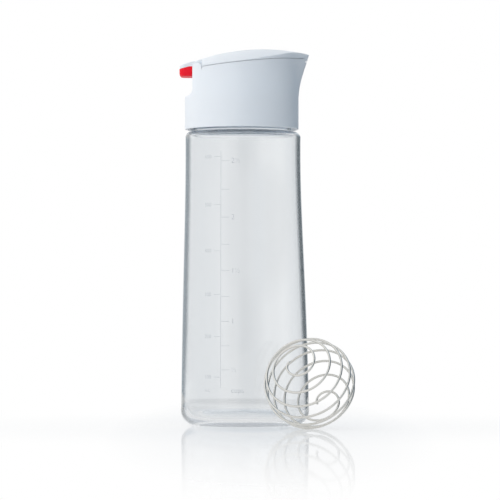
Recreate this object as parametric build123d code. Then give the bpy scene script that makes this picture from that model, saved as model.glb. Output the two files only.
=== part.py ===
from build123d import *
import math
import os

# Salad dressing shaker: a clear tapered bottle, a white screw lid with a pouring beak, a flip
# cap worked by a thumb tab, and the loose wire ball that whisks the dressing.
# Millimetres. The origin is on the axis of the neck, at the level of the table. +Z is up and
# the beak points to +X. Angles are in degrees.

# Bottle, blown in clear plastic, with its base a little off the neck's axis
base_radius = 38.8
base_shift = 2.1
shoulder_radius = 34.9
shoulder_shift = 0.4
shoulder_height = 177.4
bottle_wall = 2.1
floor_thickness = 4.2
bottom_round = 9.5
shoulder_round = 3.2
push_up_height = 3.0
foot_width = 3.3
neck_radius = 29.9
neck_wall = 2.3
neck_height = 16.6
neck_root_round = 1.0
rim_round = 0.6

# Height on the body, and how much of the taper is done there
body_shares = ((0, 0), (0.34, 0.31), (0.59, 0.67), (0.82, 0.97), (1, 1))

# Screw thread of neck and lid, with three starts
thread_starts = 3
thread_lead = 12.0
thread_sweep = 150
thread_depth = 1.2
thread_root_width = 1.7
thread_crest_width = 0.9
thread_bite = 0.4
thread_clearance = 0.3
thread_foot = 5.2

# Gasket ring in the lid
gasket_thickness = 1.8
gasket_overhang = 0.3
gasket_clearance = 0.2

# Threaded liner pressed into the lid
liner_wall = 1.3
liner_clearance = 0.1
liner_setback = 0.5
ledge_thickness = 1.8
ledge_cover = 0.3

# Lid shell. Heights are counted from the lower edge of its skirt
skirt_gap = 1.5
skirt_wall = 1.6
cavity_wall = 3.4
rim_wall = 2.2
deck_drop = 4.8
deck_thickness = 2.0
skirt_round = 0.5
seam_rise = 38.7
seam_tilt = 5.85

# Beak, which flares out of the skirt in an arc and then leans straight out
beak_foot_rise = 17.4
beak_span = 36.0
beak_flare_radius = 50.0
beak_lean = 17.3
least_tip_radius = 0.6

# Height on the beak, and the radius of its tip there as a share of the lid's radius
beak_shares = ((0.07, 0.76), (0.21, 0.52), (0.36, 0.35), (0.56, 0.22), (0.78, 0.13), (1, 0.11))

# Domed top, an arc along the beak's line turned about an axis below it
dome_rise = 48.5
dome_peak_shift = 12.6
dome_length_radius = 121.0
dome_cross_radius = 76.0

# Hinge at the back of the lid
hinge_shift = 27.0
pin_radius = 1.0
pin_length = 37.6
pin_clearance = 0.08
barrel_radius = 2.6
cheek_radius = 3.0
hinge_clearance = 0.3
groove_clearance = 0.15
knuckle_width = 30.4
cap_swing = 70

# Thumb tab of the cap, with the red lever's tail under it. Its levels are counted from the pin
tab_reach = 8.0
tab_width = 18.0
tab_end_top = 2.4
tab_end_bottom = 0.3
tab_root_bottom = 1.8
tab_flat = 2.0
tab_corner_round = 3.5
tab_edge_round = 0.7
tail_drop = 4.0
tail_round = 1.7
tail_gap = 0.2
tail_neck_drop = 1.8

# Thumb recess in the back of the lid, with a pocket that the tab and tail swing down into
recess_scoop = 3.7
pocket_side_clearance = 1.0
pocket_clearance = 0.5
pocket_floor_clearance = 1.1
pocket_wall = 1.8

# Flip cap
seam_gap = 0.25
cap_wall = 2.0
cap_top = 2.0
post_radius = 3.0
rear_post_shift = -13.0
front_post_shift = 11.0

# Red lever plate under the cap, which carries the two seals
plate_drop = 0.2
plate_thickness = 2.2
plate_nose_radius = 8.2

# Seals, and the holes that they close
spout_shift = 23.0
spout_hole_radius = 5.5
vent_shift = -8.0
vent_hole_radius = 2.2
seal_clearance = 0.4
seal_taper = 0.4
seal_flange_overhang = 1.2
seal_flange_thickness = 0.9
seal_reach = 1.5

# Pouring channel from the deck to the tip of the beak
channel_width = 8.0
channel_lip_depth = 1.5
channel_round = 1.5
tongue_clearance = 0.3

# Wire ball, one steel wire wound from pole to pole, which stands close to the bottle
ball_radius = 27.0
wire_diameter = 1.35
ball_gap = 0.05
ball_bearing = -55.4
ball_turns = 8
pole_angle = 10.0
even_drop_share = 0.31
ball_start_turn = 0.035
ball_axis = Vector(-0.334, -0.776, 0.535)

# One overrun serves every cut, and one span holds every slab of space
overrun = 1.0
span = 4 * (base_radius + shoulder_radius)

# Sizes that follow from those above
rim_height = shoulder_height + neck_height
skirt_height = shoulder_height + skirt_gap
liner_bore = neck_radius + thread_depth + thread_clearance
liner_radius = liner_bore + liner_wall
skirt_bore = liner_radius + liner_clearance
lid_radius = skirt_bore + skirt_wall
ledge_height = rim_height + gasket_thickness
seat_height = ledge_height + ledge_thickness
seam_height = skirt_height + seam_rise
beak_foot = skirt_height + beak_foot_rise
dome_height = skirt_height + dome_rise
seam_slope = math.tan(math.radians(seam_tilt))
pin_height = seam_height - hinge_shift * seam_slope
back_face = -hinge_shift - barrel_radius
groove_radius = barrel_radius / math.cos(math.radians(cap_swing / 2)) + groove_clearance
tab_swing = math.hypot(barrel_radius + tab_reach, max(tab_end_top, tail_drop))
tail_swing = math.hypot(barrel_radius + tail_gap, tail_drop)
pocket_floor = pin_height - tab_swing - pocket_floor_clearance
pocket_back = tail_swing + pocket_clearance - hinge_shift
pocket_width = tab_width + 2 * pocket_side_clearance
lever_barrel_width = pocket_width - 2 * hinge_clearance
cap_block_length = cheek_radius + hinge_clearance + cap_wall
plate_bottom = plate_drop + plate_thickness
ball_distance = base_radius + ball_gap + ball_radius
ball_x = base_shift + ball_distance * math.cos(math.radians(ball_bearing))
ball_y = ball_distance * math.sin(math.radians(ball_bearing))


def slab(low, high):
    """All the space between two heights."""
    return Pos(0, 0, low) * Box(span, span, high - low, align=(Align.CENTER, Align.CENTER, Align.MIN))


def seam_place(shift, level):
    """A place on the tilted seam between cap and lid, and a level square to it."""
    return Pos(shift, 0, seam_height + shift * seam_slope) * Rot(0, -seam_tilt, 0) * Pos(0, 0, level)


def seam_slab(low, high):
    """All the space between two levels, measured square to the seam."""
    thick = high - low
    return seam_place(0, low) * Box(span, span, thick, align=(Align.CENTER, Align.CENTER, Align.MIN))


def behind(face):
    """All the space on the thumb's side of an upright face."""
    return Pos(face, 0, skirt_height) * Box(span, span, span, align=(Align.MAX, Align.CENTER, Align.CENTER))


def strip(width):
    """All the space within a width about the middle plane."""
    return Pos(0, 0, skirt_height) * Box(span, width, span)


def round_bar(radius, length):
    """A bar along the hinge's axis."""
    return Pos(-hinge_shift, 0, pin_height) * Rot(90, 0, 0) * Cylinder(radius, length)


def side_plate(outline, width):
    """A plate of the width given, with its outline drawn in the middle plane."""
    return extrude(Plane.XZ * make_face(outline), width / 2, both=True)


def bottle_form(inset):
    """The bottle's tapered and leaning body, drawn in by a wall."""
    sections = []
    for height_share, taper_share in body_shares:
        radius = base_radius + (shoulder_radius - base_radius) * taper_share - inset
        shift = base_shift + (shoulder_shift - base_shift) * taper_share
        sections.append(Pos(shift, 0, shoulder_height * height_share) * Circle(radius))
    return loft(sections)


def thread_ridges(root_radius, depth, bite, low):
    """One ridge for each start. A negative depth and bite make ridges that face inwards."""
    climb = thread_lead * thread_sweep / 360
    ridges = []
    for start in range(thread_starts):
        path = Pos(0, 0, low) * Helix(thread_lead, climb, root_radius)
        corners = [(-bite, -thread_root_width / 2), (depth, -thread_crest_width / 2),
                   (depth, thread_crest_width / 2), (-bite, thread_root_width / 2)]
        profile = Plane(path @ 0, x_dir=(1, 0, 0), z_dir=path % 0) * make_face(Polyline(*corners, close=True))
        ridge = sweep(profile, path, is_frenet=True)
        ridges.append(Rot(0, 0, start * 360 / thread_starts) * ridge)
    return ridges


def make_bottle():
    body = bottle_form(0)
    body = fillet(body.edges().group_by(Axis.Z)[0], bottom_round)
    body = fillet(body.edges().group_by(Axis.Z)[-1], shoulder_round)
    neck_foot = shoulder_height - shoulder_round
    body += Pos(0, 0, neck_foot) * Cylinder(neck_radius, rim_height - neck_foot,
                                            align=(Align.CENTER, Align.CENTER, Align.MIN))
    inside = bottle_form(bottle_wall) & slab(floor_thickness, shoulder_height - bottle_wall)
    inside = fillet(inside.edges().group_by(Axis.Z)[0], bottom_round - bottle_wall)
    inside = fillet(inside.edges().group_by(Axis.Z)[-1], shoulder_round - bottle_wall)
    foot_radius = base_radius - bottom_round - foot_width
    push_up_radius = (foot_radius ** 2 + push_up_height ** 2) / (2 * push_up_height)
    hollow_centre = Pos(base_shift, 0, push_up_height - push_up_radius)
    inside -= hollow_centre * Sphere(push_up_radius + floor_thickness)
    bore_foot = shoulder_height - bottle_wall - overrun
    bore = Pos(0, 0, bore_foot) * Cylinder(neck_radius - neck_wall, rim_height + overrun - bore_foot,
                                           align=(Align.CENTER, Align.CENTER, Align.MIN))
    body = body - inside - bore - hollow_centre * Sphere(push_up_radius)
    rim = body.edges().filter_by(GeomType.CIRCLE).group_by(Axis.Z)[-1]
    body = fillet(rim, rim_round)
    root = body.edges().filter_by(GeomType.CIRCLE).filter_by_position(
        Axis.Z, shoulder_height - rim_round, shoulder_height + rim_round)
    root = [edge for edge in root if abs(edge.radius - neck_radius) < rim_round]
    body = fillet(root, neck_root_round)
    for ridge in thread_ridges(neck_radius, thread_depth, thread_bite, shoulder_height + thread_foot):
        body += ridge
    return body


def make_lid_gasket():
    outer = liner_bore - gasket_clearance
    inner = neck_radius - neck_wall + gasket_overhang
    return Pos(0, 0, rim_height) * extrude(Circle(outer) - Circle(inner), gasket_thickness)


def make_lid_liner():
    foot = skirt_height + liner_setback
    ledge_radius = neck_radius - neck_wall + gasket_overhang + ledge_cover
    ring = Pos(0, 0, foot) * extrude(Circle(liner_radius) - Circle(liner_bore), seat_height - foot)
    ring += Pos(0, 0, ledge_height) * extrude(Circle(liner_radius) - Circle(ledge_radius), ledge_thickness)
    half_pitch = thread_lead / thread_starts / 2
    low = shoulder_height + thread_foot - half_pitch
    for ridge in thread_ridges(liner_bore, -thread_depth, -thread_bite, low):
        ring += ridge
    return ring


def beak_reach(rise):
    """How far the tip of the beak stands out of the skirt at a height above its foot."""
    lean = math.radians(beak_lean)
    bend = beak_flare_radius * math.sin(lean)
    if rise <= bend:
        return beak_flare_radius - math.sqrt(beak_flare_radius ** 2 - rise ** 2)
    return beak_flare_radius * (1 - math.cos(lean)) + (rise - bend) * math.tan(lean)


def teardrop(inset, rise, tip_radius):
    """A level section of the lid: a circle, a smaller tip circle and the lines that touch both."""
    centre = lid_radius + beak_reach(rise) - tip_radius
    main = lid_radius - inset
    tip = max(tip_radius - inset, least_tip_radius)
    turn = math.acos((main - tip) / centre)
    half = (turn + math.pi) / 2

    def on_main(angle, side):
        return (main * math.cos(angle), side * main * math.sin(angle))

    def on_tip(side):
        return (centre + tip * math.cos(turn), side * tip * math.sin(turn))

    outline = [Line(on_main(turn, 1), on_tip(1)), ThreePointArc(on_tip(1), (centre + tip, 0), on_tip(-1)),
               Line(on_tip(-1), on_main(turn, -1)),
               ThreePointArc(on_main(turn, -1), on_main(half, -1), (-main, 0)),
               ThreePointArc((-main, 0), on_main(half, 1), on_main(turn, 1))]
    return Pos(0, 0, beak_foot + rise) * make_face(outline)


def lid_form(inset):
    """Skirt and beak together, drawn in by a wall."""
    sections = []
    for rise_share, radius_share in beak_shares:
        sections.append(teardrop(inset, rise_share * beak_span, radius_share * lid_radius))
    first = beak_shares[0][0] * beak_span + beak_foot_rise
    skirt = Pos(0, 0, skirt_height) * Cylinder(lid_radius - inset, first,
                                               align=(Align.CENTER, Align.CENTER, Align.MIN))
    return skirt + loft(sections)


def dome_level(shift):
    """Height of the domed top on the middle plane."""
    drop = dome_length_radius - math.sqrt(dome_length_radius ** 2 - (shift - dome_peak_shift) ** 2)
    return dome_height - drop


def dome_form(inset):
    """Everything under the domed top, drawn in by a wall."""
    axis_height = dome_height - dome_cross_radius
    half = 2 * lid_radius
    start = dome_level(dome_peak_shift - half) - inset
    outline = [Polyline((dome_peak_shift - half, start), (dome_peak_shift - half, axis_height),
                        (dome_peak_shift + half, axis_height), (dome_peak_shift + half, start)),
               ThreePointArc((dome_peak_shift + half, start), (dome_peak_shift, dome_height - inset),
                             (dome_peak_shift - half, start))]
    axis = Axis((0, 0, axis_height), (1, 0, 0))
    return revolve((Plane.XZ * make_face(outline)).rotate(axis, 90), axis, -180)


def back_cut():
    """The flat on the back of the lid, which runs out into a scooped floor below."""
    far = 2 * back_face
    top = dome_height + overrun
    scoop = JernArc((back_face, pocket_floor), (0, -1), recess_scoop, -90)
    low = pocket_floor - recess_scoop
    outline = [Line((back_face, pocket_floor), (back_face, top)), Line((back_face, top), (far, top)),
               Line((far, top), (far, low)), Line((far, low), scoop @ 1), scoop]
    return side_plate(outline, span)


def make_lid_shell():
    shell = lid_form(0) & dome_form(0) & seam_slab(-span, 0)
    shell -= back_cut()
    # Cheeks beside the cap, rounded about the pin, which hold the ends of the pin
    cheek_depth = deck_drop + deck_thickness
    cheek_foot = Pos(-hinge_shift, 0, pin_height - cheek_depth) * Box(
        2 * cheek_radius, span, cheek_depth, align=(Align.CENTER, Align.CENTER, Align.MIN))
    cheek = (round_bar(cheek_radius, 2 * lid_radius) + cheek_foot) & lid_form(0)
    cheek = cheek - behind(back_face) - strip(knuckle_width + 2 * hinge_clearance)
    # Basin under the cap, with the groove that the cap's knuckles turn in
    rear_inside = back_face + pocket_wall
    shell -= (lid_form(rim_wall) & seam_slab(-deck_drop, span)) - behind(rear_inside)
    shell -= round_bar(groove_radius, 2 * lid_radius)
    for solid in cheek.solids():
        shell += solid
    # Bore for the liner and the hollow above it, which goes round the pocket
    shell -= slab(skirt_height - overrun, seat_height) & Pos(0, 0, skirt_height) * Cylinder(skirt_bore, span)
    hollow = lid_form(cavity_wall) & slab(seat_height - overrun, dome_height)
    hollow = (hollow & seam_slab(-span, -deck_drop - deck_thickness)) - behind(rear_inside)
    hollow -= behind(pocket_back + pocket_wall) & strip(pocket_width + 2 * pocket_wall) & slab(
        pocket_floor - pocket_wall, dome_height)
    shell -= hollow
    shell -= behind(pocket_back) & strip(pocket_width) & slab(pocket_floor, dome_height + overrun)
    # Holes in the deck, the pouring channel and the bores for the pin
    for shift, radius in ((spout_shift, spout_hole_radius), (vent_shift, vent_hole_radius)):
        shell -= seam_place(shift, -deck_drop) * Cylinder(radius, 2 * (deck_thickness + overrun))
    shell -= pouring_channel()
    shell -= round_bar(pin_radius, pin_length)
    foot = [edge for edge in shell.edges().group_by(Axis.Z)[0] if edge.geom_type == GeomType.CIRCLE]
    outer = [edge for edge in foot if edge.radius > (lid_radius + skirt_bore) / 2]
    return fillet(outer, skirt_round)


def pouring_channel():
    """A round-bottomed cut that climbs from the deck to the lip of the beak."""
    inner = spout_shift
    outer = lid_radius + beak_reach(beak_span)
    tip = lid_radius + beak_reach(dome_height - beak_foot)
    lip = seam_height + tip * seam_slope - channel_lip_depth
    deck = seam_height + inner * seam_slope - deck_drop
    rise = (lip - deck) / (tip - inner)
    end = lip + rise * (outer - tip)
    top = dome_height + overrun
    outline = Polyline((inner, deck), (outer, end), (outer, top), (inner, top), close=True)
    cut = side_plate(outline, channel_width)
    floor = cut.edges().filter_by(Axis.Y, reverse=True).sort_by(Axis.Z)
    slope_length = math.dist((inner, deck), (outer, end))
    low = [edge for edge in floor if abs(edge.length - slope_length) < overrun / 100]
    return fillet(low[:2], channel_round)


def make_hinge_pin():
    return chamfer(round_bar(pin_radius, pin_length).edges().filter_by(GeomType.CIRCLE), pin_radius / 4)


def tab_underside():
    """The line where the white tab lies on the red tail, from its root to its end."""
    root = (back_face - tab_flat, pin_height + tab_root_bottom)
    end = (back_face - tab_reach, pin_height + tab_end_bottom)
    return root, end


def rounded_end(solid):
    """Rounds the two upright corners at the end of the tab or tail."""
    corners = solid.edges().filter_by(Axis.Z).group_by(Axis.X)[0]
    return fillet(corners, tab_corner_round)


def tail_arm(width, top):
    """The part of the lever between its barrel and its tail, or the space for it in the cap."""
    foot = pin_height - tail_neck_drop
    return Pos(-hinge_shift, 0, foot) * Box(barrel_radius + tail_gap + tab_flat, width, top - foot,
                                            align=(Align.MAX, Align.CENTER, Align.MIN))


def make_flip_cap():
    cap = (lid_form(0) & dome_form(0) & seam_slab(seam_gap, span)) - behind(back_face)
    tongue = lid_form(0) & seam_slab(tongue_clearance - channel_lip_depth, 2 * seam_gap)
    tongue = (tongue & strip(channel_width - 2 * tongue_clearance)) - behind(lid_radius)
    cap += tongue
    hollow = (lid_form(cap_wall) & dome_form(cap_top)) - behind(cap_block_length - hinge_shift)
    posts = []
    for shift in (rear_post_shift, front_post_shift):
        post = seam_place(shift, -plate_drop) * Cylinder(post_radius, dome_rise,
                                                         align=(Align.CENTER, Align.CENTER, Align.MIN))
        posts.append(post & dome_form(cap_top / 2))
    cap -= hollow
    for post in posts:
        cap += post
    # Beside the knuckles the cap ends short of the cheeks
    cheek_end = cheek_radius + hinge_clearance - hinge_shift
    cap -= behind(cheek_end) - strip(knuckle_width)
    root, end = tab_underside()
    tab_top = pin_height + tab_end_top
    inner = cap_block_length / 2 - hinge_shift
    outline = Polyline((inner, root[1]), root, end, (end[0], tab_top), (back_face, dome_level(back_face)),
                       (inner, dome_level(back_face)), close=True)
    tab = rounded_end(side_plate(outline, tab_width))
    tab = fillet(tab.edges().filter_by_position(Axis.Z, tab_top, tab_top), tab_edge_round)
    cap += tab
    cap += round_bar(barrel_radius, knuckle_width) - strip(pocket_width)
    cap -= round_bar(barrel_radius + tail_gap, pocket_width)
    cap -= tail_arm(pocket_width, root[1])
    cap -= round_bar(pin_radius + pin_clearance, pin_length)
    return cap


def make_flip_lever():
    nose = spout_shift / math.cos(math.radians(seam_tilt))
    heel = -hinge_shift / math.cos(math.radians(seam_tilt))
    outline = Pos((nose + heel) / 2, 0) * Rectangle(nose - heel, 2 * plate_nose_radius)
    outline += Pos(nose, 0) * Circle(plate_nose_radius)
    plate = seam_place(0, -plate_bottom) * extrude(outline, plate_thickness)
    lever = plate + round_bar(barrel_radius, lever_barrel_width)
    root, end = tab_underside()
    bottom = pin_height - tail_drop
    face = back_face - tail_gap
    outline = Polyline((face, bottom), (end[0], bottom), end, root, (face, root[1]), close=True)
    tail = rounded_end(side_plate(outline, tab_width))
    foot = tail.edges().group_by(Axis.Z)[0].filter_by(GeomType.LINE).filter_by(Axis.Y).sort_by(Axis.X)[0]
    tail = fillet(foot, tail_round)
    lever = lever + tail + tail_arm(tab_width, root[1])
    return lever - round_bar(pin_radius + pin_clearance, pin_length)


def make_seal(shift, hole_radius):
    """A soft plug that hangs from the lever's plate into a hole of the deck."""
    top = hole_radius - seal_clearance
    depth = deck_drop + seal_reach - plate_bottom
    plug = seam_place(shift, -plate_bottom - depth) * Cone(top - seal_taper, top, depth,
                                                           align=(Align.CENTER, Align.CENTER, Align.MIN))
    flange_radius = hole_radius + seal_flange_overhang
    flange = seam_place(shift, -plate_bottom - seal_flange_thickness) * Cylinder(
        flange_radius, seal_flange_thickness, align=(Align.CENTER, Align.CENTER, Align.MIN))
    return plug + flange


def spiral_point(centre, turn):
    """A point on the wire's middle line and its direction there, a turn counted from the front pole."""
    side = ball_axis.cross(Vector(0, 0, 1)).normalized()
    up = ball_axis.cross(side).normalized()
    middle = ball_radius - wire_diameter / 2
    # The winding goes down partly by even angles and partly by even drops along its axis
    pole = math.radians(pole_angle)
    sweep_angle = math.pi - 2 * pole
    level = math.cos(pole) * (1 - 2 * turn / ball_turns)
    even_tilt = pole + sweep_angle * turn / ball_turns
    tilt = (1 - even_drop_share) * even_tilt + even_drop_share * math.acos(level)
    even_drift = 2 * math.cos(pole) / ball_turns / math.sqrt(1 - level ** 2)
    drift_rate = (1 - even_drop_share) * sweep_angle / ball_turns + even_drop_share * even_drift
    spin = 2 * math.pi * (turn + ball_start_turn)
    outward = side * math.cos(spin) + up * math.sin(spin)
    onward = up * math.cos(spin) - side * math.sin(spin)
    axis = ball_axis.normalized()
    place = centre + (axis * math.cos(tilt) + outward * math.sin(tilt)) * middle
    drift = (outward * math.cos(tilt) - axis * math.sin(tilt)) * drift_rate
    heading = drift + onward * (2 * math.pi * math.sin(tilt))
    return place, heading.normalized()


def biarc(start, start_way, end, end_way):
    """Two arcs that leave start and reach end in the directions given, and meet smoothly."""
    chord = end - start
    ways = start_way + end_way
    a = 2 * (1 - start_way.dot(end_way))
    b = 2 * chord.dot(ways)
    c = -chord.dot(chord)
    reach = (-b + math.sqrt(b * b - 4 * a * c)) / (2 * a)
    joint = (start + end + (start_way - end_way) * reach) / 2
    joint_way = (end - start - ways * reach).normalized()
    return [Edge.make_tangent_arc(start, start_way, joint), Edge.make_tangent_arc(joint, joint_way, end)]


def least_self_gap(points, per_turn):
    """The least gap between the wire's surface and itself, a quarter turn or more along it."""
    least = span
    for first in range(len(points)):
        for second in range(first + per_turn // 4, len(points)):
            least = min(least, (points[first] - points[second]).length - wire_diameter)
    return least


def make_whisk_ball():
    quarters = 4 * ball_turns
    centre = Vector(ball_x, ball_y, ball_radius)
    stations = [spiral_point(centre, quarter / 4) for quarter in range(quarters + 1)]
    edges = []
    for (start, start_way), (end, end_way) in zip(stations, stations[1:]):
        edges += biarc(start, start_way, end, end_way)
    path = Wire(edges)
    section = Plane(stations[0][0], z_dir=stations[0][1]) * Circle(wire_diameter / 2)
    ball = sweep(section, path)
    per_turn = 32
    points = [spiral_point(centre, step / per_turn)[0] for step in range(per_turn * ball_turns + 1)]
    print("whisk_ball: wire length", round(path.length, 1), "least gap to itself",
          round(least_self_gap(points, per_turn), 2))
    return Pos(0, 0, -ball.bounding_box().min.Z) * ball


def main():
    os.makedirs("parts", exist_ok=True)
    parts = {
        "bottle": make_bottle(),
        "lid_gasket": make_lid_gasket(),
        "lid_liner": make_lid_liner(),
        "lid_shell": make_lid_shell(),
        "hinge_pin": make_hinge_pin(),
        "flip_cap": make_flip_cap(),
        "flip_lever": make_flip_lever(),
        "spout_seal": make_seal(spout_shift, spout_hole_radius),
        "vent_seal": make_seal(vent_shift, vent_hole_radius),
        "whisk_ball": make_whisk_ball(),
    }
    for name, solid in parts.items():
        export_step(solid, os.path.join("parts", name + ".step"))


main()
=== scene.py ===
import math

import bpy
import numpy as np
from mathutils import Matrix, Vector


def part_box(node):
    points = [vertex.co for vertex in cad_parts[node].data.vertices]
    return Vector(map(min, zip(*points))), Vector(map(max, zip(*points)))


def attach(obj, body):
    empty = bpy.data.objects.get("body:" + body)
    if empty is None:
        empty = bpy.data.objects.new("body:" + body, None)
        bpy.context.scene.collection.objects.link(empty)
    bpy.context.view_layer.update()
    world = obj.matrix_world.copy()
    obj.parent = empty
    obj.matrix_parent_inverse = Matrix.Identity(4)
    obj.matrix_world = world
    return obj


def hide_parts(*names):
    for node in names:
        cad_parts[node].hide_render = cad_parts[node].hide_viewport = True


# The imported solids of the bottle, its lid and the whisk ball, and the box that they fill
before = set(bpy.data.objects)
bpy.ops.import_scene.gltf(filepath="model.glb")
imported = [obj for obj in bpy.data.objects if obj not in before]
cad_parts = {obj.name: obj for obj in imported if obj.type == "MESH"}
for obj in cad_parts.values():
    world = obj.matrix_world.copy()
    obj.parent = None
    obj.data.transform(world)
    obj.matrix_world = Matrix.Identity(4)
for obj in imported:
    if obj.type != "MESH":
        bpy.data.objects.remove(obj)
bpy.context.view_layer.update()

# Camera, at the photograph's viewing angle: low over the table and far away, so that the base
# shows as a flat curve and the sides as straight ones, and tipped up to the bottle's middle.
MM = 0.001
camera_x = 5 * MM
camera_distance = 1800 * MM
camera_height = 66 * MM
camera_tip = math.radians(1.276)
film_width = 36.0
lens_length = 214.3
view_limit = 100.0
camera_data = bpy.data.cameras.new("camera")
camera_data.sensor_width = film_width
camera_data.lens = lens_length
camera_data.clip_end = view_limit
camera = bpy.data.objects.new("camera", camera_data)
camera.location = (camera_x, -camera_distance, camera_height)
camera.rotation_euler = (math.pi / 2 + camera_tip, 0, 0)
bpy.context.scene.collection.objects.link(camera)
bpy.context.scene.camera = camera

# Bottle, blown in one piece from clear plastic: a tapered body that leans a little off the neck's
# axis, a ring foot round a pushed-up base, a round shoulder and a neck with a three-start thread.
# The wall is a real one, so light bends in it as it does in the real bottle.
base_radius = 38.8 * MM
base_shift = 2.1 * MM
shoulder_radius = 34.9 * MM
shoulder_shift = 0.8 * MM
shoulder_height = 177.4 * MM
bottle_wall = 2.1 * MM
floor_thickness = 4.2 * MM
bottom_round = 9.5 * MM
shoulder_round = 3.2 * MM
inner_corner_height = 9.5 * MM
inner_corner_power = 0.8
push_up_height = 3.0 * MM
foot_width = 3.3 * MM
foot_inner_radius = base_radius - bottom_round - foot_width
push_up_bow = (foot_inner_radius ** 2 + push_up_height ** 2) / (2 * push_up_height)
neck_radius = 29.9 * MM
neck_wall = 2.3 * MM
neck_root_round = 1.0 * MM
rim_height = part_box("bottle")[1].z
rim_round = 0.6 * MM
thread_starts = 3
thread_lead = 12.0 * MM
thread_sweep = math.radians(150)
thread_depth = 1.2 * MM
thread_root_width = 1.7 * MM
thread_crest_width = 0.9 * MM
thread_foot = 5.2 * MM
thread_run_out = math.radians(9)
height_shares = (0, 0.34, 0.59, 0.82, 1)
taper_shares = (0, 0.31, 0.67, 0.97, 1)
taper_curve = np.polyfit(height_shares, taper_shares, len(height_shares) - 1)
base_steps, corner_steps, wall_steps, shoulder_steps = 24, 28, 60, 14
neck_steps, throat_steps, rim_steps, small_round_steps = 110, 12, 6, 8
bottle_columns = 256


def arc(centre, radius, start, end, count):
    """Points (radius, height) of a circle's arc: centre + radius (cos a, sin a), a in degrees."""
    angle = np.radians(np.linspace(start, end, count))
    return np.array(centre) + radius * np.stack([np.cos(angle), np.sin(angle)], axis=1)


def body_radius(height, inset):
    """The base's radius plus the share of the taper done at that height, less the inset."""
    share = np.polyval(taper_curve, height / shoulder_height)
    return base_radius + (shoulder_radius - base_radius) * share - inset


def body_shift(height):
    """How far the section's centre lies off the neck's axis: from the base's shift to the
    shoulder's with the taper, and then to none over the height of two walls."""
    share = np.polyval(taper_curve, np.clip(height / shoulder_height, 0, 1))
    lean = base_shift + (shoulder_shift - base_shift) * share
    neck = np.clip((height - shoulder_height + bottle_wall) / (2 * bottle_wall), 0, 1)
    return lean * (1 - neck)


def outer_profile():
    """Arcs and lines from the middle of the base out over the ring foot, up the tapered wall,
    over the shoulder and up the neck to the rim."""
    reach = math.degrees(math.asin(foot_inner_radius / push_up_bow))
    push_up = arc((0, push_up_height - push_up_bow), push_up_bow, 90, 90 - reach, base_steps)
    corner = arc((base_radius - bottom_round, bottom_round), bottom_round, -90, 0, base_steps)
    height = np.linspace(bottom_round, shoulder_height - shoulder_round, wall_steps)[1:-1]
    wall = np.stack([body_radius(height, 0), height], axis=1)
    wall_top = body_radius(shoulder_height - shoulder_round, 0)
    shoulder = arc((wall_top - shoulder_round, shoulder_height - shoulder_round), shoulder_round,
                   0, 90, shoulder_steps)
    root = arc((neck_radius + neck_root_round, shoulder_height + neck_root_round),
               neck_root_round, 270, 180, small_round_steps)
    height = np.linspace(shoulder_height + neck_root_round, rim_height - rim_round, neck_steps)
    neck = np.stack([np.full_like(height, neck_radius), height], axis=1)[1:-1]
    rim = arc((neck_radius - rim_round, rim_height - rim_round), rim_round, 0, 90, rim_steps)
    return np.concatenate([push_up, corner, wall, shoulder, root, neck, rim])


def inner_profile():
    """Arcs and lines from the rim down the bore, under the shoulder, down the wall, round a
    gradual corner that goes out by cos a and down by sin a, each to a power under one, and in
    over the base's mound."""
    bore = neck_radius - neck_wall
    rim = arc((bore + rim_round, rim_height - rim_round), rim_round, 90, 180, rim_steps)
    height = np.linspace(rim_height - rim_round, shoulder_height, throat_steps)
    throat = np.stack([np.full_like(height, bore), height], axis=1)[1:]
    bend = arc((bore + bottle_wall, shoulder_height), bottle_wall, 180, 270, small_round_steps)[1:]
    inner_round = shoulder_round - bottle_wall
    wall_head = shoulder_height - bottle_wall - inner_round
    shoulder = arc((body_radius(wall_head, bottle_wall) - inner_round, wall_head), inner_round,
                   90, 0, small_round_steps)
    wall_foot = floor_thickness + inner_corner_height
    height = np.linspace(wall_head, wall_foot, wall_steps)[1:-1]
    wall = np.stack([body_radius(height, bottle_wall), height], axis=1)
    corner_width = bottom_round - bottle_wall
    corner_radius = body_radius(wall_foot, bottle_wall) - corner_width
    sweep = np.radians(np.linspace(0, 90, corner_steps))
    out, down = np.cos(sweep) ** inner_corner_power, np.sin(sweep) ** inner_corner_power
    corner = np.stack([corner_radius + corner_width * out,
                       floor_thickness + inner_corner_height * (1 - down)], axis=1)
    mound_radius = push_up_bow + floor_thickness
    mound_centre = push_up_height - push_up_bow
    edge = math.sqrt(mound_radius ** 2 - (floor_thickness - mound_centre) ** 2)
    reach = math.degrees(math.asin(edge / mound_radius))
    mound = arc((0, mound_centre), mound_radius, 90 - reach, 90, base_steps)
    return np.concatenate([rim, throat, bend, shoulder, wall, corner, mound])


def thread_rise(turn, height):
    """The thread's height over the neck: a trapezium across each ridge, whose centre climbs by
    the lead each turn. Both ends of a ridge run out to nothing."""
    rise = np.zeros(np.broadcast(turn, height).shape)
    for start in range(thread_starts):
        along = np.mod(turn - start * 2 * math.pi / thread_starts, 2 * math.pi)
        centre = shoulder_height + thread_foot + thread_lead * along / (2 * math.pi)
        flank = (thread_root_width - thread_crest_width) / 2
        across = np.clip((thread_root_width / 2 - np.abs(height - centre)) / flank, 0, 1)
        ends = np.clip(np.minimum(along, thread_sweep - along) / thread_run_out, 0, 1)
        rise = np.maximum(rise, thread_depth * across * ends)
    return rise


def neck_swell(turn, height, radius):
    """The thread's rise on the outside of the neck, and none elsewhere."""
    outside = radius > neck_radius - rim_round / 2
    above = height > shoulder_height + neck_root_round
    return thread_rise(turn, height) * outside * above


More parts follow.
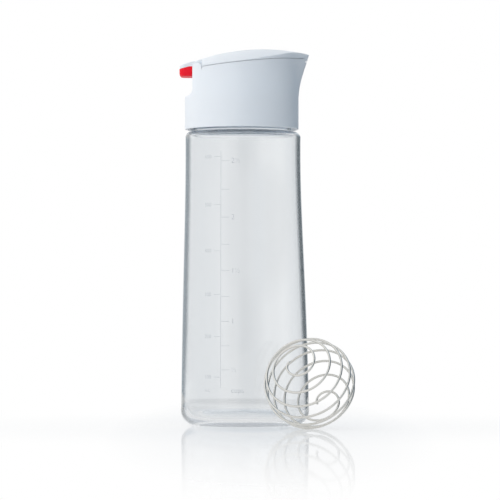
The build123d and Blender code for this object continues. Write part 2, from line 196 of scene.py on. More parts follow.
def turned_mesh(name, profile, centre_shift, columns, swell):
    """Turns a closed profile of (radius, height), whose two ends lie on the axis, about its
    sections' centres: x = shift + r cos t and y = r sin t, where r is the radius plus the swell
    at that turn and height."""
    turn = np.linspace(0, 2 * math.pi, columns, endpoint=False)
    radius, height = profile[1:-1, 0][:, None], profile[1:-1, 1][:, None]
    full = radius + swell(turn[None, :], height, radius)
    across, deep = centre_shift(height) + full * np.cos(turn), full * np.sin(turn)
    grid = np.stack(np.broadcast_arrays(across, deep, height), axis=2)
    poles = np.array([[centre_shift(end), 0, end] for end in profile[[0, -1], 1]], float)
    places = np.concatenate([grid.reshape(-1, 3), poles])
    rows = len(profile) - 2
    here = np.arange(columns)
    beside = (here + 1) % columns
    row = np.arange(rows - 1)[:, None] * columns
    quads = np.stack([row + here, row + beside, row + columns + beside, row + columns + here],
                     axis=2).reshape(-1, 4)
    first, last = rows * columns, rows * columns + 1
    top = (rows - 1) * columns
    low = np.stack([np.full(columns, first), beside, here], axis=1)
    high = np.stack([np.full(columns, last), top + here, top + beside], axis=1)
    mesh = bpy.data.meshes.new(name)
    mesh.from_pydata(places.tolist(), [], quads.tolist() + low.tolist() + high.tolist())
    mesh.shade_smooth()
    mesh.update()
    piece = bpy.data.objects.new(name, mesh)
    bpy.context.scene.collection.objects.link(piece)
    return piece


bottle_profile = np.concatenate([outer_profile(), inner_profile()])
bottle = turned_mesh("bottle_body", bottle_profile, body_shift, bottle_columns, neck_swell)
outer_skin = np.zeros(len(bottle.data.vertices))
outer_skin[:(len(outer_profile()) - 1) * bottle_columns] = 1
bottle.data.attributes.new("outer_skin", "FLOAT", "POINT").data.foreach_set("value", outer_skin)
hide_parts("bottle")
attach(bottle, "bottle")

# The bottle's finish: clear plastic, greyer in the neck, with faint upright flow marks. Where its
# outside is upright its colour darkens in steps as it turns from the eye, down to near black: a
# painted shade, far darker than its thick wall gives. This dark edge is narrower low down.
# Shadow rays, and light past four faces, go straight through.
plastic_index = 1.5
clear_tint = (0.919, 0.931, 0.939)
neck_tint = (0.80, 0.83, 0.86)
painted_edge_shade = (0.43, 0.455, 0.47)
painted_rim_shade = (0.09, 0.105, 0.11)
painted_edge_stops = ((0.555, clear_tint), (0.61, painted_edge_shade), (0.67, painted_rim_shade))
narrow_edge_height = 24 * MM
wide_edge_height = 58 * MM
narrow_edge_shift = -0.05
downward_share = -0.55
upright_slant, level_slant = 0.15, 0.6
flow_scale = 90.0
flow_stretch = 8.0
flow_depth = 0.05 * MM
flow_strength = 0.25
wall_colour = (0.61, 0.63, 0.65)
wall_density = 35.0
faces_bent = 3.5
passing_tint = (0.95, 0.96, 0.97)


def shader_node(tree, kind, setting=None, **sockets):
    """A node of a kind, in one of its settings, with values or other nodes' outputs on its
    sockets. In a socket's name an underscore stands for a space, and a name like value_1 is the
    node's socket 1."""
    node = tree.nodes.new("ShaderNode" + kind)
    for option in ("operation", "interpolation_type", "data_type"):
        if setting and hasattr(node, option):
            setattr(node, option, setting)
            break
    for name, value in sockets.items():
        if name[-2:-1] == "_" and name[-1].isdigit():
            socket = node.inputs[int(name[-1])]
        else:
            socket = node.inputs[name.replace("_", " ")]
        if isinstance(value, bpy.types.NodeSocket):
            tree.links.new(value, socket)
        else:
            socket.default_value = value
    return node


def new_finish(name, **sockets):
    """A material with a Principled shader, whose sockets take the values given."""
    material = bpy.data.materials.new(name)
    material.use_nodes = True
    shader = material.node_tree.nodes["Principled BSDF"]
    for socket, value in sockets.items():
        shader.inputs[socket.replace("_", " ")].default_value = value
    return material, material.node_tree, shader


bottle_clear, tree, shader = new_finish("bottle_clear", Transmission_Weight=1.0, Roughness=0.0,
                                        IOR=plastic_index)
level = shader_node(tree, "SeparateXYZ", Vector=shader_node(tree, "TexCoord").outputs["Object"])
narrowing = shader_node(tree, "MapRange", Value=level.outputs["Z"], From_Min=narrow_edge_height,
                        From_Max=wide_edge_height, To_Min=narrow_edge_shift, To_Max=0.0)
turned_away = shader_node(tree, "LayerWeight", Blend=0.5)
painted_edge_view = shader_node(tree, "Math", "ADD", value_0=narrowing.outputs["Result"],
                        value_1=turned_away.outputs["Facing"])
# Painted shade: the outside's colour goes dark, down to near black, as it turns edge on
painted_edge_ramp = shader_node(tree, "ValToRGB", Fac=painted_edge_view.outputs[0])
for position, colour in painted_edge_stops:
    painted_edge_ramp.color_ramp.elements.new(position).color = (*colour, 1)
painted_edge_ramp.color_ramp.elements.remove(painted_edge_ramp.color_ramp.elements[0])
painted_edge_ramp.color_ramp.elements.remove(painted_edge_ramp.color_ramp.elements[-1])
normal = shader_node(tree, "NewGeometry").outputs["Normal"]
facing_up = shader_node(tree, "SeparateXYZ", Vector=normal)
facing_down = shader_node(tree, "Math", "MULTIPLY", value_0=facing_up.outputs["Z"],
                          value_1=downward_share)
slant = shader_node(tree, "Math", "MAXIMUM", value_0=facing_up.outputs["Z"],
                    value_1=facing_down.outputs[0])
upright = shader_node(tree, "MapRange", Value=slant.outputs[0], From_Min=upright_slant,
                      From_Max=level_slant, To_Min=1.0, To_Max=0.0)
skin = shader_node(tree, "Attribute")
skin.attribute_name = "outer_skin"
painted_edge_mask = shader_node(tree, "Math", "MULTIPLY", value_0=upright.outputs["Result"],
                     value_1=skin.outputs["Fac"])
up_neck = shader_node(tree, "MapRange", Value=level.outputs["Z"],
                      From_Min=shoulder_height - neck_root_round,
                      From_Max=shoulder_height + neck_root_round)
clear = shader_node(tree, "Mix", "RGBA", Factor=up_neck.outputs["Result"], A=(*clear_tint, 1),
                    B=(*neck_tint, 1))
tint_and_painted_edge = shader_node(tree, "Mix", "RGBA", Factor=painted_edge_mask.outputs[0], A=clear.outputs["Result"],
                   B=painted_edge_ramp.outputs["Color"])
tree.links.new(tint_and_painted_edge.outputs["Result"], shader.inputs["Base Color"])
drawn_down = shader_node(tree, "Mapping", Vector=shader_node(tree, "TexCoord").outputs["Object"],
                         Scale=(flow_scale, flow_scale, flow_scale / flow_stretch))
flow = shader_node(tree, "TexNoise", Vector=drawn_down.outputs["Vector"], Scale=1.0, Detail=1.0)
ripple = shader_node(tree, "Bump", Strength=flow_strength, Distance=flow_depth,
                     Height=flow.outputs["Fac"])
tree.links.new(ripple.outputs["Normal"], shader.inputs["Normal"])
absorb = shader_node(tree, "VolumeAbsorption", Color=(*wall_colour, 1), Density=wall_density)
path = shader_node(tree, "LightPath")
deep = shader_node(tree, "Math", "GREATER_THAN", value_0=path.outputs["Ray Depth"],
                   value_1=faces_bent)
straight_on = shader_node(tree, "Math", "MAXIMUM", value_0=path.outputs["Is Shadow Ray"],
                          value_1=deep.outputs[0])
open_way = shader_node(tree, "BsdfTransparent", Color=(*passing_tint, 1))
mix = shader_node(tree, "MixShader", Fac=straight_on.outputs[0], Shader_1=shader.outputs["BSDF"],
                  Shader_2=open_way.outputs["BSDF"])
tree.links.new(mix.outputs["Shader"], tree.nodes["Material Output"].inputs["Surface"])
tree.links.new(absorb.outputs["Volume"], tree.nodes["Material Output"].inputs["Volume"])
bottle.data.materials.append(bottle_clear)

# Measuring scale, printed on the outside of the bottle in a thin film of pale ink: an upright
# line with a mark each 100 mL on its left and each quarter cup on its right, at the heights that
# hold them.
ink_film = 0.06 * MM
ink_line = 0.22 * MM
scale_turn = math.radians(-90 - 22)
line_foot = 23.6 * MM
line_head = 164.3 * MM
millilitre_tick = (-4.4 * MM, -0.3 * MM)
millilitre_number = -8.8 * MM
cup_tick = (0.3 * MM, 5.3 * MM)
cup_number = 6.4 * MM
unit_height = 22.0 * MM
small_type = 3.3 * MM
large_type = 4.3 * MM
type_thinning = 0.06 * MM
type_smoothness = 6
half_sign = "\u00bd"
millilitres = range(100, 700, 100)
quarter_cups = range(2, 11)
quarter_cup_volume = 59.15
millilitres_in_cubic_metre = 1e6
scale_lift = 1.6 * MM
scale_wall = 1.7 * MM
fill_steps, line_steps, tick_steps = 400, 60, 8


def fill_height(volume):
    """Height of the surface when the bottle holds that many mL: the level where the sum of the
    thin discs inside the wall comes to the volume. The wall counts as a little thinner here."""
    height = np.linspace(floor_thickness, shoulder_height - shoulder_round, fill_steps)
    corner = bottom_round - scale_wall
    low = np.clip(floor_thickness + corner - height, 0, corner)
    radius = body_radius(height, scale_wall) - (corner - np.sqrt(corner ** 2 - low ** 2))
    area = math.pi * radius ** 2
    slices = (area[1:] + area[:-1]) / 2 * np.diff(height)
    held = np.concatenate([[0], np.cumsum(slices)]) * millilitres_in_cubic_metre
    return float(np.interp(volume, held, height)) + scale_lift


def wrap_on_bottle(places):
    """Lays flat places on the bottle: the first value becomes an arc round the body from the
    scale's line, the second the height, and the third stands out of the wall."""
    height = places[:, 1]
    radius = body_radius(height, 0)
    turn = scale_turn + places[:, 0] / radius
    out = radius + ink_film + places[:, 2]
    return np.stack([body_shift(height) + out * np.cos(turn), out * np.sin(turn), height], axis=1)


def ink_bar(left, right, low, high, steps):
    """A thin bar of ink between two arcs and two heights: four edges along its longer way, joined
    to a closed strip."""
    along = np.linspace(0, 1, steps + 1)
    wide = right - left > high - low
    places = []
    for side, face in ((0, 0), (1, 0), (1, 1), (0, 1)):
        if wide:
            reach, height = left + (right - left) * along, np.full(steps + 1, (low, high)[side])
        else:
            reach, height = np.full(steps + 1, (right, left)[side]), low + (high - low) * along
        depth = np.full(steps + 1, (face - 0.5) * ink_film)
        places.append(np.stack([reach, height, depth], axis=1))
    places = np.stack(places, axis=1).reshape(-1, 3)
    row = np.arange(steps)[:, None] * 4
    here = np.arange(4)
    beside = (here + 1) % 4
    quads = np.stack([row + here, row + 4 + here, row + 4 + beside, row + beside],
                     axis=2).reshape(-1, 4)
    caps = [[0, 1, 2, 3], [steps * 4 + 3, steps * 4 + 2, steps * 4 + 1, steps * 4]]
    return places, quads.tolist() + caps


def ink_words(words, size, left, middle, align):
    """Words in plain type as a thin closed film, centred on a height."""
    curve = bpy.data.curves.new("type", "FONT")
    curve.body = words
    curve.size = size
    curve.align_x = align
    curve.align_y = "CENTER"
    curve.extrude = ink_film / 2
    curve.offset = -type_thinning
    curve.resolution_u = type_smoothness
    holder = bpy.data.objects.new("type", curve)
    bpy.context.scene.collection.objects.link(holder)
    bpy.context.view_layer.update()
    film = holder.evaluated_get(bpy.context.evaluated_depsgraph_get())
    mesh = bpy.data.meshes.new_from_object(film)
    places = np.zeros(len(mesh.vertices) * 3)
    mesh.vertices.foreach_get("co", places)
    faces = [list(face.vertices) for face in mesh.polygons]
    bpy.data.objects.remove(holder)
    bpy.data.meshes.remove(mesh)
    return places.reshape(-1, 3) + (left, middle, 0), faces


def ink_tick(ends, height):
    """A level mark of the line's own width, between two arcs, centred on a height."""
    return ink_bar(*ends, height - ink_line / 2, height + ink_line / 2, tick_steps)


ink_parts = [ink_bar(-ink_line / 2, ink_line / 2, line_foot, line_head, line_steps)]
for volume in millilitres:
    mark = fill_height(volume)
    ink_parts.append(ink_tick(millilitre_tick, mark))
    ink_parts.append(ink_words(str(volume), small_type, millilitre_number, mark, "CENTER"))
for quarters in quarter_cups:
    mark = fill_height(quarters * quarter_cup_volume)
    ink_parts.append(ink_tick(cup_tick, mark))
    if quarters % 2 == 0:
        whole, half = divmod(quarters, 4)
        words = (str(whole) if whole else "") + (half_sign if half else "")
        ink_parts.append(ink_words(words, large_type, cup_number, mark, "LEFT"))
ink_parts.append(ink_words("mL", small_type, millilitre_number, unit_height, "CENTER"))
ink_parts.append(ink_words("cups", large_type, cup_number, unit_height, "LEFT"))
ink_places, ink_faces, first = [], [], 0
for places, faces in ink_parts:
    ink_places.append(wrap_on_bottle(places))
    ink_faces += [[index + first for index in face] for face in faces]
    first += len(places)
ink_mesh = bpy.data.meshes.new("scale_print")
ink_mesh.from_pydata(np.concatenate(ink_places).tolist(), [], ink_faces)
scale_print = bpy.data.objects.new("scale_print", ink_mesh)
bpy.context.scene.collection.objects.link(scale_print)
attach(scale_print, "bottle")

# The ink's finish, dull and even. Its grain is the one that every surface but the bottle's has,
# each with its own values: Fine and Broad are the two noises' scales, Shade and Spread how far
# the broad one shifts the colour and the roughness.
grain_strength = 0.15
fine_detail, broad_detail = 3.0, 2.0
ink_grain = {"Color": (0.60, 0.62, 0.645, 1), "Shade": 0.3, "Roughness": 0.5, "Spread": 0.2,
             "Fine": 4000.0, "Broad": 1500.0}


def grain_group():
    """Fine grain of a surface. A broad noise shifts the colour and the roughness a little to both
    sides of what is given, and a fine noise gives the height for a bump."""
    group = bpy.data.node_groups.new("surface_grain", "ShaderNodeTree")
    for way, sockets in (("INPUT", {"Place": "Vector", "Color": "Color", "Shade": "Float",
                                    "Roughness": "Float", "Spread": "Float", "Fine": "Float",
                                    "Broad": "Float"}),
                         ("OUTPUT", {"Color": "Color", "Roughness": "Float", "Height": "Float"})):
        for name, kind in sockets.items():
            group.interface.new_socket(name, in_out=way, socket_type="NodeSocket" + kind)
    given = group.nodes.new("NodeGroupInput").outputs
    fine = shader_node(group, "TexNoise", Vector=given["Place"], Scale=given["Fine"],
                       Detail=fine_detail)
    broad = shader_node(group, "TexNoise", Vector=given["Place"], Scale=given["Broad"],
                        Detail=broad_detail)
    aside = shader_node(group, "Math", "SUBTRACT", value_0=broad.outputs["Fac"], value_1=0.5)
    rough = shader_node(group, "Math", "MULTIPLY_ADD", value_0=aside.outputs[0],
                        value_1=given["Spread"], value_2=given["Roughness"])
    shade = shader_node(group, "Math", "MULTIPLY_ADD", value_0=aside.outputs[0],
                        value_1=given["Shade"], value_2=1.0)
    colour = shader_node(group, "VectorMath", "SCALE", Vector=given["Color"],
                         Scale=shade.outputs[0])
    out = group.nodes.new("NodeGroupOutput").inputs
    group.links.new(colour.outputs[0], out["Color"])
    group.links.new(rough.outputs[0], out["Roughness"])
    group.links.new(fine.outputs["Fac"], out["Height"])
    return group


surface_grain = grain_group()


def grained_finish(name, grain, bump_depth, place=None, stretch=None, **sockets):
    """A material whose colour, roughness and bump come from the grain. The grain lies in the
    object's own space, or on an attribute of the mesh, and may be stretched along an axis."""
    material, tree, shader = new_finish(name, **sockets)
    if place:
        where = shader_node(tree, "Attribute").outputs["Vector"]
        where.node.attribute_name = place
    else:
        where = shader_node(tree, "TexCoord").outputs["Object"]
    if stretch:
        where = shader_node(tree, "Mapping", Vector=where, Scale=stretch).outputs["Vector"]
    surface = tree.nodes.new("ShaderNodeGroup")
    surface.node_tree = surface_grain
    tree.links.new(where, surface.inputs["Place"])
    for socket, value in grain.items():
        surface.inputs[socket].default_value = value
    bump = shader_node(tree, "Bump", Strength=grain_strength, Distance=bump_depth,
                       Height=surface.outputs["Height"])
    tree.links.new(surface.outputs["Color"], shader.inputs["Base Color"])
    tree.links.new(surface.outputs["Roughness"], shader.inputs["Roughness"])
    tree.links.new(bump.outputs["Normal"], shader.inputs["Normal"])
    return material


scale_print.data.materials.append(grained_finish("scale_ink", ink_grain, 0.01 * MM))

# Lid: a white moulded shell with a deck, a spout hole and a vent, and inside it a white liner
# with the thread that screws down on the bottle. Both have the fine even grain of a moulded
# surface, and light sinks a little way into them.
white_grain = {"Color": (0.85, 0.885, 0.925, 1), "Shade": 0.03, "Roughness": 0.36,
               "Spread": 0.08, "Fine": 1400.0, "Broad": 60.0}
glow_depth = 3.0 * MM
white_glow = {"Subsurface_Weight": 0.25, "Subsurface_Radius": (1.0, 0.95, 0.9),
              "Subsurface_Scale": glow_depth}


def dress(node, material):
    """Gives a node of the model its finish."""
    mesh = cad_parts[node].data
    mesh.materials.clear()
    mesh.materials.append(material)


lid_white = grained_finish("lid_white", white_grain, 0.04 * MM, **white_glow)
dress("lid_shell", lid_white)
dress("lid_liner", lid_white)

# Flip cap: a white moulded dome that ends in the pouring beak and swings up on the hinge pin. It
# is a little smoother than the lid, where thumbs have polished it.
cap_grain = white_grain | {"Roughness": 0.32, "Fine": 1700.0}
dress("flip_cap", grained_finish("cap_white", cap_grain, 0.03 * MM, **white_glow))

# Lever: one red moulding, fixed under the cap, that carries both seals and ends in the tail under
# the thumb tab. The red is deep and even, with a satin gloss.
red_grain = {"Color": (0.90, 0.012, 0.028, 1), "Shade": 0.06, "Roughness": 0.45, "Spread": 0.1,
             "Fine": 1400.0, "Broad": 80.0}
dress("flip_lever", grained_finish("lever_red", red_grain, 0.03 * MM, Specular_IOR_Level=0.12))

# Seals: a plug for the spout, a plug for the vent and the flat ring between the lid and the
# bottle's rim, all of soft translucent silicone with a dull, slightly dusty surface.
seal_grain = {"Color": (0.80, 0.81, 0.82, 1), "Shade": 0.1, "Roughness": 0.6, "Spread": 0.2,
              "Fine": 2200.0, "Broad": 200.0}
seal_silicone = grained_finish("seal_silicone", seal_grain, 0.05 * MM, Subsurface_Weight=0.4,
                               Subsurface_Radius=(1.0, 1.0, 1.0), Subsurface_Scale=glow_depth)
for seal in ("spout_seal", "vent_seal", "lid_gasket"):
    dress(seal, seal_silicone)

# Hinge pin: a straight stainless pin through the lid's cheeks, with the lengthwise marks of
# drawing, so its grain is stretched along it.
drawn_grain = {"Color": (0.62, 0.62, 0.60, 1), "Shade": 0.12, "Roughness": 0.24, "Spread": 0.18,
               "Fine": 1.0, "Broad": 0.4}
pin_marks = (4000.0, 80.0, 4000.0)
dress("hinge_pin", grained_finish("pin_drawn_steel", drawn_grain, 0.01 * MM, stretch=pin_marks,
                                  Metallic=1.0))

# Whisk ball, one stainless wire bent into a spiral that runs from pole to pole of a sphere. It
# stands beside the bottle, as it does before it is dropped in.
ball_radius = 27.0 * MM
wire_radius = 1.35 / 2 * MM
ball_gap = 0.05 * MM
ball_bearing = math.radians(-54.9)
ball_turns = 8
ball_flat_share = 0.975
pole_angle = math.radians(8.7)
even_drop_share = 0.39
ball_start_turn = -0.005
ball_axis = np.array([-0.340, -0.800, 0.494])
steps_per_turn = 96
wire_sides = 16
end_rings = 4
end_ring_angle = 80
wire_grain = drawn_grain | {"Color": (0.67, 0.66, 0.625, 1), "Roughness": 0.34}
wire_marks = (4.0, 4.0, 0.15)


def spiral_line():
    """The wire's middle line on a sphere, pressed a little flat along its axis, and its
    direction. The angle from the pole is a blend of one that grows evenly with the turns and one
    that drops evenly along the axis."""
    axis = ball_axis / np.linalg.norm(ball_axis)
    side = np.cross(axis, (0, 0, 1))
    side /= np.linalg.norm(side)
    up = np.cross(axis, side)
    turn = np.linspace(0, ball_turns, ball_turns * steps_per_turn + 1)
    even_tilt = pole_angle + (math.pi - 2 * pole_angle) * turn / ball_turns
    even_drop = np.arccos(math.cos(pole_angle) * (1 - 2 * turn / ball_turns))
    tilt = (1 - even_drop_share) * even_tilt + even_drop_share * even_drop
    spin = 2 * math.pi * (turn + ball_start_turn)
    outward = np.cos(spin)[:, None] * side + np.sin(spin)[:, None] * up
    along_axis = ball_flat_share * np.cos(tilt)[:, None] * axis
    line = (along_axis + np.sin(tilt)[:, None] * outward) * (ball_radius - wire_radius)
    way = np.gradient(line, axis=0)
    return line, way / np.linalg.norm(way, axis=1)[:, None]


def wire_tube(name, line, way, centre):
    """A round wire along a line on a sphere, moved to the sphere's centre: rings square to the
    line, which shrink by cos a and step out by sin a for a round end. Each point also keeps its
    place round and along the wire, in wire radii, for the drawing marks."""
    normal = line / np.linalg.norm(line, axis=1)[:, None]
    cross = np.cross(way, normal)
    cross /= np.linalg.norm(cross, axis=1)[:, None]
    lift = np.cross(cross, way)
    end = np.radians(np.linspace(end_ring_angle, 0, end_rings + 1))[:-1]
    size = np.concatenate([np.cos(end), np.ones(len(line)), np.cos(end[::-1])])
    push = np.concatenate([-np.sin(end), np.zeros(len(line)), np.sin(end[::-1])])
    pick = np.concatenate([np.zeros(end_rings, int), np.arange(len(line)),
                           np.full(end_rings, len(line) - 1)])
    turn = np.linspace(0, 2 * math.pi, wire_sides, endpoint=False)[:, None]
    ring = np.cos(turn) * cross[pick][:, None] + np.sin(turn) * lift[pick][:, None]
    middle = line[pick] + way[pick] * (push * wire_radius)[:, None]
    grid = centre + middle[:, None] + ring * (size * wire_radius)[:, None, None]
    rows = len(pick)
    here = np.arange(wire_sides)
    beside = (here + 1) % wire_sides
    row = np.arange(rows - 1)[:, None] * wire_sides
    quads = np.stack([row + here, row + wire_sides + here, row + wire_sides + beside,
                      row + beside], axis=2).reshape(-1, 4)
    caps = [here.tolist(), (here[::-1] + (rows - 1) * wire_sides).tolist()]
    mesh = bpy.data.meshes.new(name)
    mesh.from_pydata(grid.reshape(-1, 3).tolist(), [], quads.tolist() + caps)
    steps = np.linalg.norm(np.diff(line[pick], axis=0), axis=1)
    along = np.concatenate([[0], np.cumsum(steps)])[:, None] / wire_radius
    marks = np.stack(np.broadcast_arrays(np.cos(turn).T, np.sin(turn).T, along), axis=2)
    drawn = mesh.attributes.new("wire_place", "FLOAT_VECTOR", "POINT")
    drawn.data.foreach_set("vector", marks.ravel())
    mesh.shade_smooth()
    piece = bpy.data.objects.new(name, mesh)
    bpy.context.scene.collection.objects.link(piece)
    return piece


wire_line, wire_way = spiral_line()
ball_distance = base_radius + ball_gap + ball_radius
ball_foot = -(wire_line[:, 2] - wire_radius * np.sqrt(1 - wire_way[:, 2] ** 2)).min()
ball_centre = np.array([base_shift + ball_distance * math.cos(ball_bearing),
                        ball_distance * math.sin(ball_bearing), ball_foot])
whisk_wire = wire_tube("whisk_wire", wire_line, wire_way, ball_centre)
wire_steel = grained_finish("wire_drawn_steel", wire_grain, 0.01 * MM, place="wire_place",
                            stretch=wire_marks, Metallic=1.0)
whisk_wire.data.materials.append(wire_steel)
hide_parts("whisk_ball")
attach(whisk_wire, "ball")

# Floor: a plain white sheet. Near the object it is paper that takes the shadow, and farther off
# an even white takes over for the camera, for mirrors and through the bottle, where it is a
# little dimmer as painted shade. Seen at a low angle it is also a fading mirror, and its paper
# then shows in a long oval far to the front but hardly aside: a painted shadow, grey even where
# no shadow falls.
floor_radius = 0.9
floor_sides = 96
floor_middle = (0.015, -0.02, 0)
paper_colour = (0.94, 0.945, 0.95)
near_white_share = 0.6
round_reach = (0.045, 0.3)
oval_narrowing = 7
painted_shadow_reach = (0.1, 0.66)
low_angle_power = 14.0
painted_through_shade = -0.08
mirror_roughness = 0.03
mirror_strength = 0.83
mirror_reach = (0.14, 0.75)
open_reach = (0.08, 0.25)
floor_turn = np.linspace(0, 2 * math.pi, floor_sides, endpoint=False)
floor_rim = np.stack([np.cos(floor_turn), np.sin(floor_turn), 0 * floor_turn], axis=1)
floor_mesh = bpy.data.meshes.new("floor")
floor_mesh.from_pydata((floor_rim * floor_radius).tolist(), [], [list(range(floor_sides))])
floor = bpy.data.objects.new("floor", floor_mesh)
bpy.context.scene.collection.objects.link(floor)
sweep = bpy.data.materials.new("studio_floor")
sweep.use_nodes = True
tree = sweep.node_tree
tree.nodes.remove(tree.nodes["Principled BSDF"])
path = shader_node(tree, "LightPath")
paper = shader_node(tree, "BsdfDiffuse", Color=(*paper_colour, 1))
# Painted shade: the white glow is a little dimmer where it is seen through the bottle
painted_dim_strength = shader_node(tree, "Math", "MULTIPLY_ADD", value_0=path.outputs["Is Transmission Ray"],
                     value_1=painted_through_shade, value_2=1.0)
glow = shader_node(tree, "Emission", Strength=painted_dim_strength.outputs[0])
seen = shader_node(tree, "Math", "ADD", value_0=path.outputs["Is Camera Ray"],
                   value_1=path.outputs["Is Glossy Ray"])
seen_or_through = shader_node(tree, "Math", "ADD", value_0=seen.outputs[0],
                              value_1=path.outputs["Is Transmission Ray"])
centred = shader_node(tree, "VectorMath", "SUBTRACT", Vector_1=floor_middle,
                      Vector_0=shader_node(tree, "TexCoord").outputs["Object"])
away = shader_node(tree, "VectorMath", "LENGTH", Vector_0=centred.outputs["Vector"])
oval = shader_node(tree, "VectorMath", "MULTIPLY", Vector_0=centred.outputs["Vector"],
                   Vector_1=(oval_narrowing, 1, 1))
oval_away = shader_node(tree, "VectorMath", "LENGTH", Vector_0=oval.outputs["Vector"])
round_fade = shader_node(tree, "MapRange", "SMOOTHSTEP", Value=away.outputs["Value"],
                         From_Min=round_reach[0], From_Max=round_reach[1],
                         To_Min=near_white_share, To_Max=1.0)
# Painted shadow: at a low angle the lit grey paper shows in a long oval in front, where no shadow
# falls
painted_shadow_fade = shader_node(tree, "MapRange", Value=oval_away.outputs["Value"],
                        From_Min=painted_shadow_reach[0], From_Max=painted_shadow_reach[1])
turned_away = shader_node(tree, "LayerWeight", Blend=0.5)
grazing = shader_node(tree, "Math", "POWER", value_0=turned_away.outputs["Facing"],
                      value_1=low_angle_power)
fade = shader_node(tree, "Mix", Factor=grazing.outputs[0], A=round_fade.outputs["Result"],
                   B=painted_shadow_fade.outputs["Result"])
white_share = shader_node(tree, "Math", "MULTIPLY", value_0=seen_or_through.outputs[0],
                          value_1=fade.outputs["Result"])
ground = shader_node(tree, "MixShader", Fac=white_share.outputs[0],
                     Shader_1=paper.outputs["BSDF"], Shader_2=glow.outputs["Emission"])
mirror = shader_node(tree, "BsdfAnisotropic", Color=(1, 1, 1, 1), Roughness=mirror_roughness)
mirror_fade = shader_node(tree, "MapRange", Value=oval_away.outputs["Value"],
                          From_Min=mirror_reach[0], From_Max=mirror_reach[1],
                          To_Min=mirror_strength, To_Max=0.0)
low_mirror = shader_node(tree, "Math", "MULTIPLY", value_0=mirror_fade.outputs["Result"],
                         value_1=grazing.outputs[0])
mirror_share = shader_node(tree, "Math", "MULTIPLY", value_0=low_mirror.outputs[0],
                           value_1=path.outputs["Is Camera Ray"])
top_coat = shader_node(tree, "MixShader", Fac=mirror_share.outputs[0],
                       Shader_1=ground.outputs["Shader"], Shader_2=mirror.outputs["BSDF"])

# Far from the object, the floor lets what is seen through the bottle pass to the room behind it
far_off = shader_node(tree, "MapRange", "SMOOTHSTEP", Value=away.outputs["Value"],
                      From_Min=open_reach[0], From_Max=open_reach[1])
let_by = shader_node(tree, "Math", "MULTIPLY", value_0=far_off.outputs["Result"],
                     value_1=path.outputs["Is Transmission Ray"])
see_past = shader_node(tree, "MixShader", Fac=let_by.outputs[0],
                       Shader_1=top_coat.outputs["Shader"],
                       Shader_2=shader_node(tree, "BsdfTransparent").outputs["BSDF"])
tree.links.new(see_past.outputs["Shader"], tree.nodes["Material Output"].inputs["Surface"])
floor.data.materials.append(sweep)

# Room: white to the camera. Its soft light on the pieces falls off from left to right. Mirrors
# see strip lights up to just over the horizon, and the soft light above them. Through the bottle
# it is white, a little darker straight behind, to the far right and toward the floor.
strip_top = (0.065, 0.085)
floor_line = (-0.033, -0.028)
under_floor_line = 0.86
soft_cooling, strip_cooling, card_cooling = 0.5, 0.32, 0.05

# Each stop is a place and a brightness. The soft light goes from left (0) to right (1), and the
# others by bearing: the camera's side (0.5), left (0.25), right (0.75) and the far side (0, 1).
soft_stops = ((0.0, 1.22), (0.3, 1.12), (0.56, 0.94), (0.75, 0.43), (0.9, 0.06), (1.0, 0.0))
strip_stops = ((0.0, 1.0), (0.03, 1.0), (0.055, 0.6), (0.12, 0.6), (0.17, 0.9), (0.26, 0.55),
               (0.34, 0.7), (0.40, 1.5), (0.455, 1.2), (0.49, 0.25), (0.55, 0.25), (0.62, 1.3),
               (0.72, 1.2), (0.79, 0.3), (0.85, 0.12), (0.93, 0.12), (0.965, 0.8), (0.982, 1.0),
               (1.0, 1.0))
card_stops = ((0.0, 0.885), (0.0025, 0.93), (0.005, 0.93), (0.0147, 0.93), (0.05, 1.0),
              (0.5, 1.0), (0.9, 0.95), (0.925, 0.85), (0.955, 0.85), (0.97, 0.95),
              (0.9815, 1.02), (0.99, 1.01), (0.9947, 1.0), (0.9965, 0.93), (0.9987, 0.915),
              (1.0, 0.885))
world = bpy.data.worlds.new("studio")
bpy.context.scene.world = world
world.use_nodes = True
tree = world.node_tree


def light_ramp(value, cooling, stops):
    """Brightness of the room by a value from 0 to 1: grey levels, cooler where they are darker."""
    ramp = shader_node(tree, "ValToRGB", Fac=value)
    ramp.color_ramp.interpolation = "EASE"
    elements = ramp.color_ramp.elements
    while len(elements) < len(stops):
        elements.new(0.5)
    for element, (position, level) in zip(elements, stops):
        cool = cooling * max(1 - level, 0)
        element.position = position
        element.color = (level * (1 - cool), level, level * (1 + cool), 1)
    return ramp.outputs["Color"]


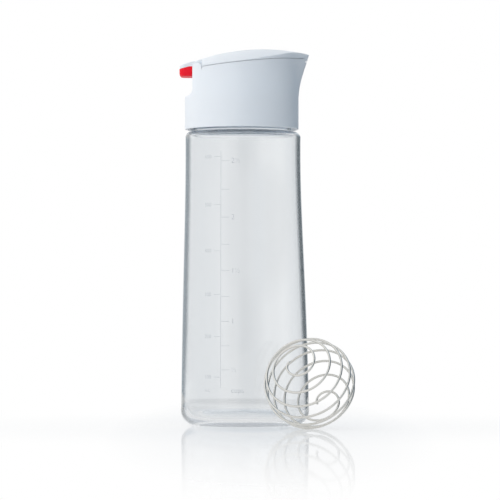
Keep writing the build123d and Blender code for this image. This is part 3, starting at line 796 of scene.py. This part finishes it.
split = shader_node(tree, "SeparateXYZ", Vector=shader_node(tree, "TexCoord").outputs["Generated"])
across = shader_node(tree, "MapRange", Value=split.outputs["X"], From_Min=-1.0, From_Max=1.0)
toward = shader_node(tree, "Math", "MULTIPLY", value_0=split.outputs["Y"], value_1=-1.0)
round_turn = shader_node(tree, "Math", "ARCTAN2", value_0=split.outputs["X"],
                         value_1=toward.outputs[0])
bearing = shader_node(tree, "MapRange", Value=round_turn.outputs[0], From_Min=-math.pi,
                      From_Max=math.pi)
soft = light_ramp(across.outputs["Result"], soft_cooling, soft_stops)
strips = light_ramp(bearing.outputs["Result"], strip_cooling, strip_stops)
card_by_bearing = light_ramp(bearing.outputs["Result"], card_cooling, card_stops)
toward_floor = shader_node(tree, "MapRange", Value=split.outputs["Z"], From_Min=floor_line[0],
                           From_Max=floor_line[1], To_Min=under_floor_line, To_Max=1.0)
card = shader_node(tree, "VectorMath", "SCALE", Vector=card_by_bearing,
                   Scale=toward_floor.outputs["Result"])
low_down = shader_node(tree, "MapRange", Value=split.outputs["Z"], From_Min=strip_top[0],
                       From_Max=strip_top[1], To_Min=1.0, To_Max=0.0)
path = shader_node(tree, "LightPath")
streaked = shader_node(tree, "Mix", "RGBA", Factor=low_down.outputs["Result"], A=soft, B=strips)
gloss_mix = shader_node(tree, "Mix", "RGBA", Factor=path.outputs["Is Glossy Ray"], A=soft,
                        B=streaked.outputs["Result"])
through_mix = shader_node(tree, "Mix", "RGBA", Factor=path.outputs["Is Transmission Ray"],
                          A=gloss_mix.outputs["Result"], B=card.outputs["Vector"])
backdrop = shader_node(tree, "Mix", "RGBA", Factor=path.outputs["Is Camera Ray"],
                       A=through_mix.outputs["Result"], B=(1, 1, 1, 1))
tree.links.new(backdrop.outputs["Result"], tree.nodes["Background"].inputs["Color"])

# Light goes through the bottle's wall many times before it comes out
bpy.context.scene.cycles.max_bounces = 24
bpy.context.scene.cycles.glossy_bounces = 16
bpy.context.scene.cycles.transmission_bounces = 24
bpy.context.scene.cycles.diffuse_bounces = 6
bpy.context.scene.view_settings.view_transform = "Standard"
